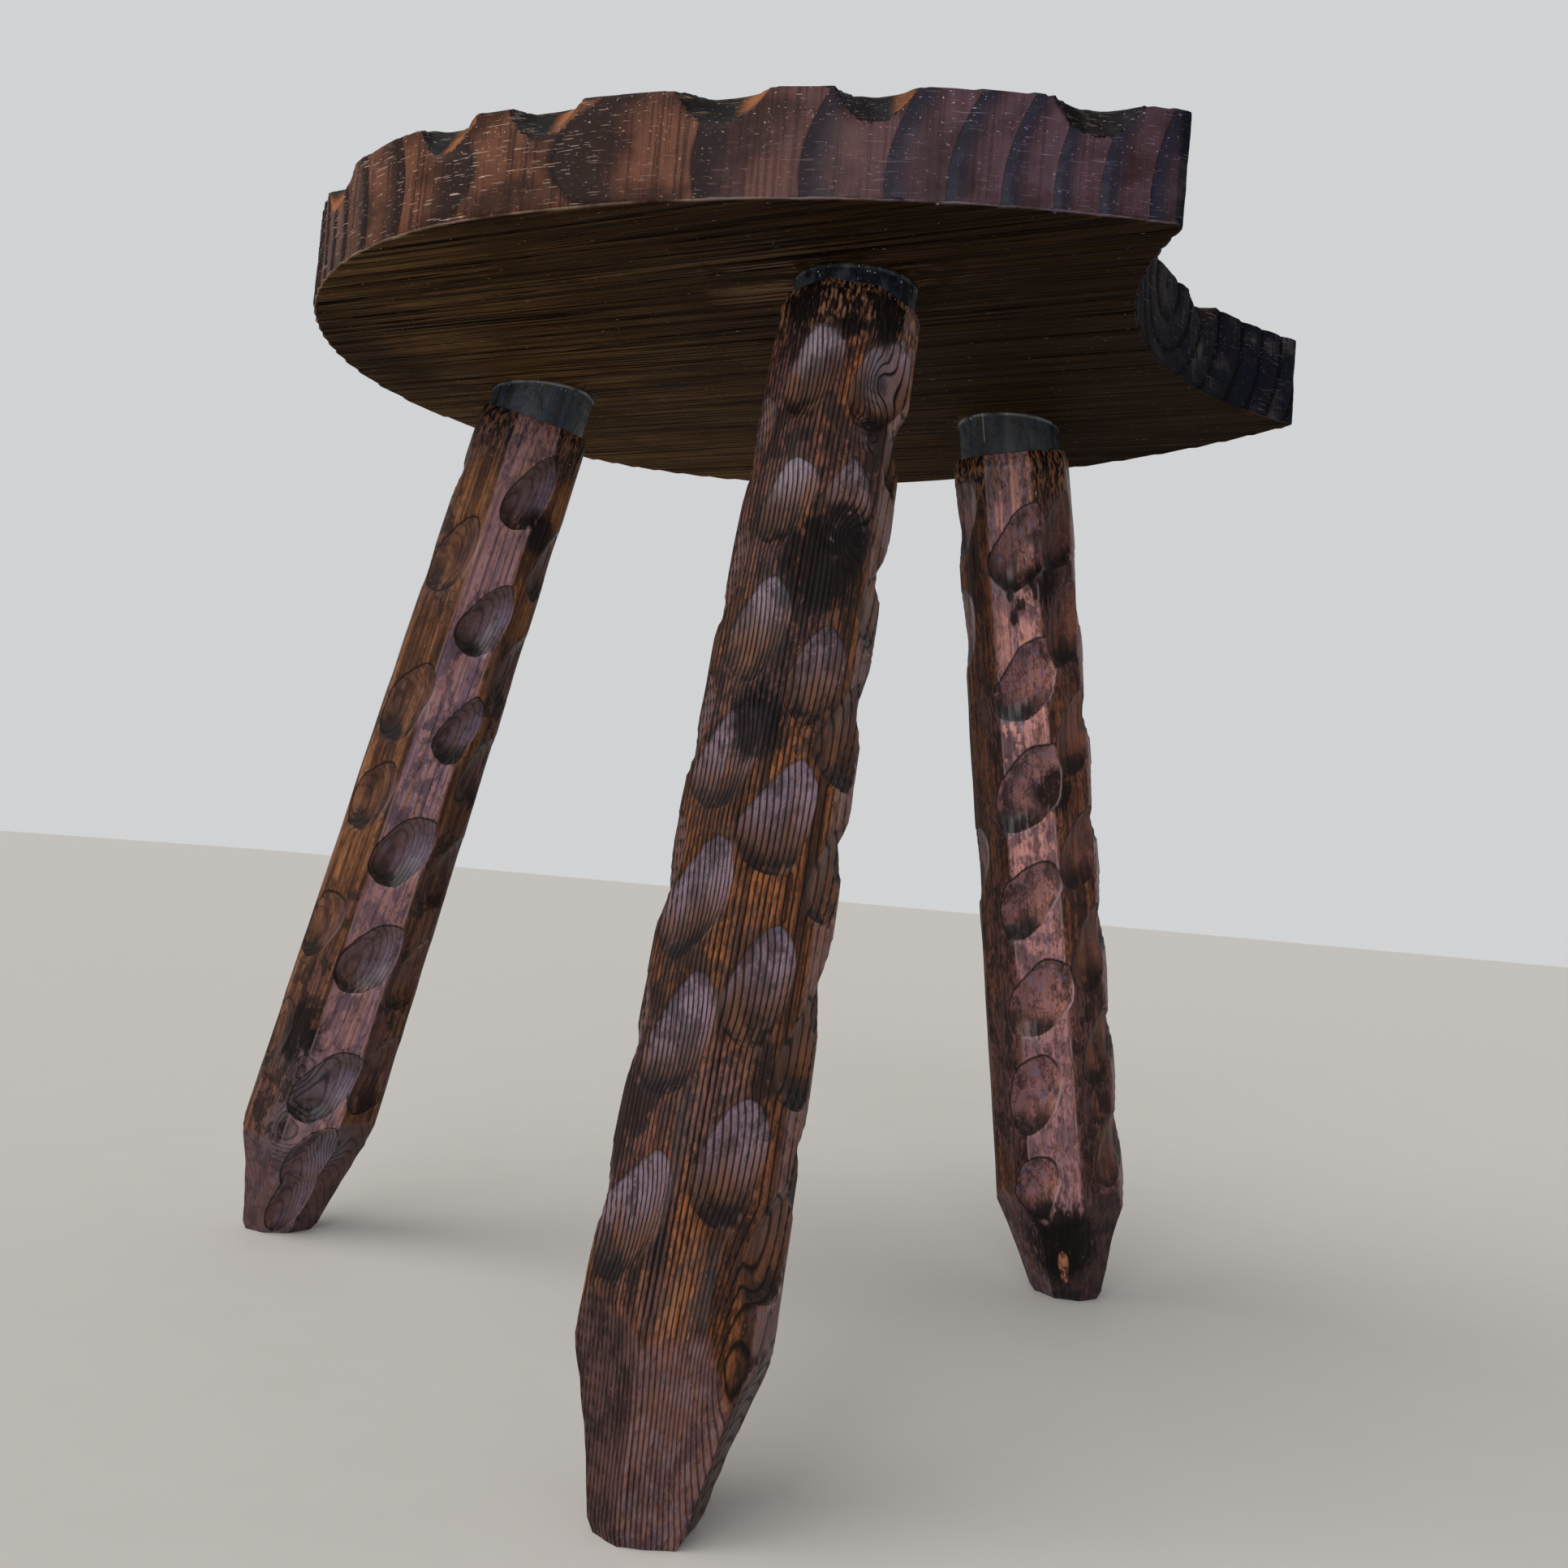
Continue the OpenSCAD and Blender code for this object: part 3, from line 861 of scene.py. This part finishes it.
def make_seat_finish(name, wood):
    """Softwood of the board, coloured by one of the functions above and marked."""
    f = Finish(name, Specular_IOR_Level=0.03, Coat_Roughness=0.25, Coat_IOR=1.4)
    f.read("ring", "end_grain", "under", "wall", "facing", "scuffed")
    f.x, f.y, f.height = f.millimetres("X"), f.millimetres("Y"), f.millimetres("Z") - float(under_h)
    f.below_part = f.under.rise(0.5, 0.9)
    f.to_notch = f.x.rise(35, 172)
    f.in_notch = f.x.rise(146, 158) * f.end_grain.rise(0.38, 0.55)
    f.phase = f.ring.part()
    f.late = f.phase.rise(0.45, 0.92)
    f.upright = f.noise((800, 800, 12), 3, shift=(5, 5, 5))
    f.streak = f.noise((9, 330, 330), 4, shift=(3, 7, 1))
    f.lines = f.noise((5, 640, 640), 5, 0.7, shift=(7, 2, 2))
    f.hair = f.noise((7, 950, 950), 3, shift=(4, 9, 5))
    f.patch = f.noise((40, 40, 50), 5, 0.6, shift=(2, 8, 3))
    # Pale of the marks, painted glints and highlight among them, lilac towards the notch
    pale = f.mix((0.40, 0.27, 0.21), (0.27, 0.21, 0.25), f.to_notch)
    colour = f.mix(wood(f), pale, pale_marks(f))
    rough = 0.46 + 0.25 * f.noise((60, 900, 900), 4) + 0.2 * f.below_part + 0.3 * f.in_notch
    bump = f.bump(f.noise((60, 1500, 1500), 4), 0.0004, 0.5)
    bump = f.bump(f.upright * f.wall, 0.0006, 0.6, bump)
    bump = f.bump(f.late * f.wall, 0.0005, 0.7, bump)
    bump = f.bump((f.lines + f.hair) * f.below_part, 0.0009, 0.8, bump)
    coat = (0.12 + 0.03 * f.late) * (1 - f.below_part) * (1 - 0.75 * f.in_notch)
    return f.paint(Base_Color=colour, Roughness=rough, Normal=bump, Coat_Weight=coat)


# Each leg's stain and painted sheen: bright and dark wood, worn flats and the veins in them,
# the foot, and the left, right and lower part of a scoop; the worn flats' pink is partly, and
# the left and right colours wholly, a painted sheen. fade: where down a scoop that painted
# sheen fades, and longer: how much further that is on the lower part of the leg. mottled: how
# patchy the scoops and flats are. The rest: how dark the grooves are, how speckled the wood,
# how dark the painted shadow on the scoops' upper rims, and how pale the painted highlight on
# their right rims and the wear on the flats' borders
STAINS_AND_SHEENS = {
    "round_end_leg": dict(
        bright=(0.170, 0.068, 0.026), dark=(0.036, 0.013, 0.006), flat=(0.175, 0.090, 0.090),
        vein=(0.060, 0.040, 0.070), foot=(0.082, 0.045, 0.044),
        left=(0.066, 0.034, 0.034), right=(0.080, 0.054, 0.074), low=(0.040, 0.020, 0.016),
        fade=(0.45, 1.1), longer=0.0, mottled=0.5, grooved=0.35, speckled=0.25, painted_rim_shadow=0.9, rim_highlight_and_wear=0.15),
    "notch_left_leg": dict(
        bright=(0.125, 0.045, 0.022), dark=(0.018, 0.006, 0.004), flat=(0.400, 0.184, 0.158),
        vein=(0.125, 0.082, 0.118), foot=(0.055, 0.031, 0.028),
        left=(0.130, 0.058, 0.058), right=(0.225, 0.096, 0.078), low=(0.085, 0.036, 0.029),
        fade=(0.5, 1.05), longer=0.0, mottled=1.0, grooved=0.12, speckled=0.6, painted_rim_shadow=0.9, rim_highlight_and_wear=0.35),
    "notch_right_leg": dict(
        bright=(0.150, 0.050, 0.015), dark=(0.030, 0.010, 0.004), flat=(0.115, 0.058, 0.040),
        vein=(0.070, 0.038, 0.038), foot=(0.115, 0.054, 0.044),
        left=(0.128, 0.084, 0.104), right=(0.132, 0.080, 0.093), low=(0.075, 0.038, 0.026),
        fade=(-0.04, 0.58), longer=0.2, mottled=0.55, grooved=0.92, speckled=0.55, painted_rim_shadow=0.45,
        rim_highlight_and_wear=0.0),
}


def on_leg(f, leg):
    """A place in the leg's own frame."""
    stance = leg_stance(leg)
    return f.node("ShaderNodeMapping", {"vector_type": "TEXTURE"}, 0,
                  {"Vector": f.place, "Location": stance.translation, "Rotation": stance.to_euler()})


BLACK = (0.003, 0.002, 0.002)


def flat_wood(f, stain_and_sheen):
    """The worn flats and the foot's cuts: reddish, veined and, on some legs, mottled; the flats' pink is
    partly a painted sheen.
    """
    mottled = stain_and_sheen["mottled"]
    lower_flat = f.along.rise(120, 280) * mottled
    # The flat's colour: worn wood with a painted pink sheen
    face = f.mix(stain_and_sheen["flat"], stain_and_sheen["bright"], f.streak.rise(0.50, 0.60) * 0.4)
    face = f.mix(face, stain_and_sheen["vein"], f.stripe.rise(0.54, 0.57) * 0.7)
    face = f.mix(face, (0.085, 0.036, 0.040), (1 - f.stripe).rise(0.56, 0.60) * 0.5)
    face = f.mix(face, (0.168, 0.083, 0.084), lower_flat * 0.75)
    face = f.mix(face, stain_and_sheen["foot"], f.foot * (0.7 + 0.3 * f.streak))
    face = f.mix(face, (0.045, 0.034, 0.052), f.patchy * (0.75 - 0.4 * lower_flat))
    face = f.mix(face, (0.020, 0.010, 0.010), f.cell.rise(0.58, 0.66) * (0.4 + 0.25 * mottled))
    face = f.mix(face, (0.075, 0.032, 0.028), f.grime.rise(0.52, 0.60) * 0.7 * mottled)
    face = f.mix(face, (0.125, 0.098, 0.122),
                 (1 - f.grime).rise(0.50, 0.58) * f.foot * (1 - f.tone) * 0.7 * mottled)
    return f.mix(face, (0.008, 0.005, 0.005), f.foot * f.tone * (0.65 + 0.35 * f.blotch.rise(0.4, 0.6)))


def gouged_wood(f, stain_and_sheen):
    """The scoops: a painted purple sheen above, and the wood's own brown towards their lower ends."""
    mottled = stain_and_sheen["mottled"]
    # Painted sheen on the scoop's upper part: purple, with bluish painted highlights and dark blotches
    upper = f.mix(stain_and_sheen["left"], stain_and_sheen["right"], f.side.rise(-0.6, 0.7))
    upper = f.mix(upper, (0.026, 0.014, 0.016), f.blotch.rise(0.48, 0.60) * (0.25 + 0.5 * mottled))
    upper = f.mix(upper, (0.075, 0.078, 0.125), f.grime.rise(0.56, 0.66) * 0.7 * mottled)
    upper = f.mix(upper, BLACK,
                  f.grime.rise(0.40, 0.44) * (1 - f.grime.rise(0.45, 0.48)) * 0.7 * mottled)
    lower = f.mix(stain_and_sheen["dark"], stain_and_sheen["bright"], f.streak.rise(0.38, 0.66) * 0.75)
    lower = f.mix(lower, stain_and_sheen["low"], f.shine * 0.7)
    longer = f.along.rise(90, 190) * stain_and_sheen["longer"]
    # Where the painted sheen fades down the scoop
    painted_sheen = 1 - (f.low + 0.5 * (f.streak - 0.5) - longer).rise(*stain_and_sheen["fade"])
    return f.mix(lower, upper, f.shine * painted_sheen * (1 - 0.3 * f.streak.rise(0.52, 0.66)))


def grooves_and_pores(f, stain_and_sheen, colour):
    """Blackens the brushed grooves, partly as painted shade, the pores and, partly as painted shade, the
    lower ends of the scoops.
    """
    colour = f.mix(colour, (0.088, 0.086, 0.108), f.knot.rise(0.05, 0.5) * 0.6 * stain_and_sheen["mottled"])
    groove_dark = stain_and_sheen["grooved"] * (1 - 0.35 * f.level * (1 - f.carved)) + 0.35 * f.knot.rise(0.05, 0.3)
    # Black in the brushed grooves: dark late wood and painted shade
    colour = f.mix(colour, BLACK, (1 - f.ridge) * groove_dark.least(1.0))
    plain = (1 - 0.85 * f.carved) * (1 - 0.8 * f.level)
    colour = f.mix(colour, BLACK, f.cell.rise(0.46, 0.56) * plain * stain_and_sheen["speckled"])
    colour = f.mix(colour, (0.007, 0.004, 0.004), f.patchy * (0.85 - 0.6 * f.level) * (1 - 0.5 * f.carved))
    # Painted shade at the scoops' lower ends, blotched like scorch
    return f.mix(colour, BLACK, f.carved * f.low.rise(0.55, 0.95) * f.blotch.rise(0.36, 0.50) * 0.9)


def collar_end_and_burns(f, stain_and_sheen, colour):
    """Speckles the end at the collar, and adds the scorched places, knots and chips."""
    colour = f.mix(colour, (0.190, 0.088, 0.036),
                   f.shoulder * (1 - f.cell).rise(0.50, 0.58) * (1 - f.carved) * stain_and_sheen["speckled"])
    colour = f.mix(colour, BLACK,
                   f.shoulder * f.cell.rise(0.47, 0.55) * (0.95 - 0.6 * f.worn) * (1 - 0.7 * f.carved))
    burnt = f.scorch.rise(0.10, 0.5) * (f.cell + f.blotch + 0.4 * f.scorch).rise(0.93, 1.18) * 0.93
    colour = f.mix(colour, BLACK, burnt)
    colour = f.mix(colour, BLACK, f.knot.rise(0.6, 0.95) * (0.5 - 0.3 * f.foot))
    chipped = f.chip.rise(0.3, 0.6) * (0.15 + 0.85 * f.cell.rise(0.42, 0.56))
    return f.mix(colour, (0.220, 0.088, 0.048), chipped)


def edge_wear_and_painted_light(f, stain_and_sheen, colour):
    """Pales the crests, with wear and a painted highlight, and the borders of flats with wear, paints shadow
    on the scoops' upper-left rims and highlight on their right rims, and paints shade into the hollows.
    """
    rim = 1 - (f.hollow - 0.12).size().rise(0.05, 0.55)
    flat_edge = (1 - (f.worn * 2 - 1).size().rise(0.0, 0.9)) * (1 - f.carved) * (1 - f.foot)
    # Pale crests: rubbed wear with a painted highlight
    rubbed_and_highlit = f.crest.rise(0.3, 0.8) * f.blotch.rise(0.40, 0.55) * (0.1 + 0.35 * f.worn) * (1 - f.foot)
    colour = f.mix(colour, (0.30, 0.18, 0.15), rubbed_and_highlit)
    # Painted shade in the concave creases
    colour = f.mix(colour, BLACK, (0 - f.crest).rise(0.25, 0.9) * 0.7)
    # Painted shadow on the scoops' upper-left rims
    colour = f.mix(colour, BLACK, rim * (1 - f.side.rise(-0.2, 0.5)) * stain_and_sheen["painted_rim_shadow"])
    # Painted highlight on the scoops' right rims
    rim_highlight_and_wear = rim * f.side.rise(0.2, 0.7) * (1 - f.low.rise(0.5, 0.9)) * stain_and_sheen["rim_highlight_and_wear"]
    colour = f.mix(colour, (0.42, 0.28, 0.30), rim_highlight_and_wear)
    pale_edge = flat_edge * f.blotch.rise(0.46, 0.54) * (0.12 + 0.4 * stain_and_sheen["rim_highlight_and_wear"])
    colour = f.mix(colour, (0.42, 0.28, 0.26), pale_edge)
    specks = f.cell.rise(0.72, 0.76) * (0.25 + 0.75 * f.shoulder) * (1 - 0.7 * f.carved)
    return f.mix(colour, (0.42, 0.30, 0.22), specks)


def leg_finish(name):
    """A leg's brushed and stained wood."""
    f = Finish(name + "_wood", Specular_IOR_Level=0.08, Coat_Roughness=0.22, Coat_IOR=1.4)
    f.place = on_leg(f, LEGS[name])
    f.read("ring", "hollow", "low", "side", "shine", "along", "knot", "crest", "worn", "foot", "scorch",
           "tone", "chip")
    f.streak = f.noise((260, 260, 10), 4, shift=(2, 5, 8))
    f.stripe = f.noise((300, 300, 5), 2, shift=(3, 3, 1))
    f.cell = f.noise((850, 850, 260), 3, shift=(9, 9, 9))
    f.blotch = f.noise((120, 120, 80), 7, 0.7, shift=(6, 1, 3))
    f.broad = f.noise((24, 24, 15), 2, shift=(1, 7, 3))
    f.grime = f.noise((330, 330, 170), 5, 0.65, shift=(5, 2, 6))
    f.patchy = f.blotch.rise(0.48, 0.56) * f.broad.rise(0.32, 0.52)
    f.ridge = f.ring.part().rise(0.05, 0.32) * (1 - f.ring.part().rise(0.88, 1.0))
    f.carved = f.hollow.rise(-0.05, 0.12)
    f.level = (f.worn + 0.9 * f.foot).least(1.0)
    f.shoulder = 1 - f.along.rise(16, 40)
    stain_and_sheen = STAINS_AND_SHEENS[name]
    colour = f.mix(stain_and_sheen["dark"], stain_and_sheen["bright"], (f.streak * 0.6 + f.blotch * 0.4).rise(0.40, 0.60))
    colour = f.mix(colour, (0.056, 0.028, 0.030), f.broad.rise(0.44, 0.60) * 0.6)
    colour = f.mix(colour, flat_wood(f, stain_and_sheen), f.level)
    colour = f.mix(colour, gouged_wood(f, stain_and_sheen), f.carved)
    for change in (grooves_and_pores, collar_end_and_burns, edge_wear_and_painted_light):
        colour = change(f, stain_and_sheen, colour)
    fibre = f.noise((1500, 1500, 50), 4)
    rough = 0.44 + 0.25 * fibre + 0.1 * (1 - f.ridge)
    bump = f.bump(f.ridge, 0.0004, 0.1 + 0.9 * stain_and_sheen["grooved"])
    bump = f.bump(fibre, 0.0003, 0.5, bump)
    bump = f.bump(f.cell * (0.3 + f.shoulder), 0.0006, 0.5, bump)
    sheen = 0.12 + 0.38 * f.carved * f.shine * (1 - f.low.rise(0.1, 0.6)) + 0.25 * f.worn
    sheen = sheen * (1 - 0.8 * f.scorch.rise(0.2, 0.6)) * (0.4 + 0.6 * f.ridge)
    return f.paint(Base_Color=colour, Roughness=rough, Normal=bump, Coat_Weight=sheen)


def sleeve_finish(name, leg):
    """Satin black with a pale painted highlight at its upper edge, crumbs of glue and, where it has one, a
    seam.
    """
    f = Finish(name + "_sleeve", Specular_IOR_Level=0.5, Coat_Weight=0.0)
    f.place = on_leg(f, leg)
    f.read("above")
    brushed = f.noise((260, 260, 12), 3)
    smudge = f.noise((110, 110, 80), 4, shift=(4, 4, 4))
    crumpled = leg["crumpled"]
    colour = f.mix((0.002, 0.003, 0.005), (0.014, 0.024, 0.044),
                   brushed.rise(0.38, 0.68) * (1 - 0.7 * crumpled))
    colour = f.mix(colour, (0.030, 0.033, 0.038), smudge.rise(0.52, 0.58) * crumpled)
    colour = f.mix(colour, (0.001, 0.001, 0.001),
                   smudge.rise(0.42, 0.46) * (1 - smudge.rise(0.47, 0.5)) * crumpled)
    # A painted highlight along the upper edge
    pale = (1 - (f.above + 0.5).rise(0.2, 0.9)) * (f.above + 1.4).rise(0.1, 0.6)
    pale = pale * smudge.rise(0.35, 0.6) * (0.6 - 0.6 * crumpled)
    if leg["seam"]:
        seam = (1 - (f.millimetres("Y") - leg["seam"]).size().rise(0.1, 0.3)) * f.above.rise(-12, -10)
        pale = (pale + seam * 0.7).least(1.0)
    glue = f.noise((900, 900, 700), 2, shift=(3, 1, 3)).rise(0.68, 0.72) * f.above.rise(-7, -1)
    colour = f.mix(colour, (0.22, 0.21, 0.20), pale)
    colour = f.mix(colour, (0.55, 0.54, 0.50), glue * (0.25 + crumpled))
    rough = 0.34 + 0.25 * smudge
    bump = f.bump(smudge, 0.002, 0.8)
    return f.paint(Base_Color=colour, Roughness=rough, Normal=f.bump(brushed, 0.0003, 0.5, bump))


for made in LEGS.values():
    made["length"] = under_h / math.cos(math.radians(made["splay"]))

seat_finish = make_seat_finish("seat_stained_wood", stained_wood)
scoop_finish = make_seat_finish("seat_scooped_wood", scooped_wood)
make_seat()
for leg_name in LEGS:
    make_leg(leg_name)
for leg_name, its_leg in LEGS.items():
    make_collar(leg_name.replace("_leg", "_collar"), its_leg)


# Floor, light and camera

def make_floor():
    bpy.ops.mesh.primitive_plane_add(size=24)
    floor = bpy.context.object
    floor.name = "floor"
    f = Finish("floor_paint", Specular_IOR_Level=0.2)
    f.brighter = 1.0
    speck = f.noise((30, 30, 30), 3)
    f.paint(Base_Color=f.mix((0.74, 0.70, 0.64), (0.78, 0.74, 0.68), speck), Roughness=0.6 + 0.2 * speck)
    floor.data.materials.append(f.material)


def make_world():
    """An even pale room, dimmer as a light than where it is seen or mirrored."""
    world = bpy.data.worlds.new("studio")
    bpy.context.scene.world = world
    world.use_nodes = True
    tree = world.node_tree
    back = tree.nodes["Background"]
    path = tree.nodes.new("ShaderNodeLightPath")
    seen = tree.nodes.new("ShaderNodeMath")
    seen.operation = "MAXIMUM"
    tree.links.new(path.outputs["Is Camera Ray"], seen.inputs[0])
    tree.links.new(path.outputs["Is Transmission Ray"], seen.inputs[1])
    amount = tree.nodes.new("ShaderNodeMapRange")
    amount.inputs["To Min"].default_value = 0.28
    amount.inputs["To Max"].default_value = 0.66
    mirrored = tree.nodes.new("ShaderNodeMath")
    mirrored.operation = "MAXIMUM"
    tree.links.new(path.outputs["Is Glossy Ray"], mirrored.inputs[0])
    tree.links.new(seen.outputs[0], mirrored.inputs[1])
    tree.links.new(mirrored.outputs[0], amount.inputs["Value"])
    tree.links.new(amount.outputs[0], back.inputs["Strength"])
    back.inputs["Color"].default_value = (0.97, 0.98, 1.0, 1)


def lamp(name, towards, strength, spread, colour=(1, 1, 1)):
    """A very soft light from far away, which lies towards this direction."""
    data = bpy.data.lights.new(name, "SUN")
    data.energy, data.angle, data.color = strength, math.radians(spread), colour
    made = bpy.data.objects.new(name, data)
    bpy.context.scene.collection.objects.link(made)
    made.rotation_euler = Vector(towards).to_track_quat("Z", "Y").to_euler()


def make_camera():
    """The photograph's own viewing angle."""
    data = bpy.data.cameras.new("camera")
    data.lens, data.sensor_width = 36.45, 36
    data.clip_start = 0.01
    camera = bpy.data.objects.new("camera", data)
    bpy.context.scene.collection.objects.link(camera)
    turn, tilt, roll = (math.radians(a) for a in (-26.728, 3.342, 4.821))
    ahead = Vector((math.sin(turn) * math.cos(tilt), math.cos(turn) * math.cos(tilt), math.sin(tilt)))
    level = Vector((math.cos(turn), -math.sin(turn), 0))
    upright = level.cross(ahead)
    right = level * math.cos(roll) + upright * math.sin(roll)
    up = upright * math.cos(roll) - level * math.sin(roll)
    stance = Matrix((right, up, -ahead)).transposed().to_4x4()
    stance.translation = Vector((312.3, -534.7, 171.4)) * MM
    camera.matrix_world = stance
    bpy.context.scene.camera = camera


make_floor()
make_world()
lamp("soft main light", (-0.45, -0.75, 0.95), 1.3, 60)
lamp("low front light", (0.23, -1.0, 0.13), 2.5, 42, (0.90, 0.93, 1.0))
make_camera()
bpy.context.scene.view_settings.view_transform = "Standard"
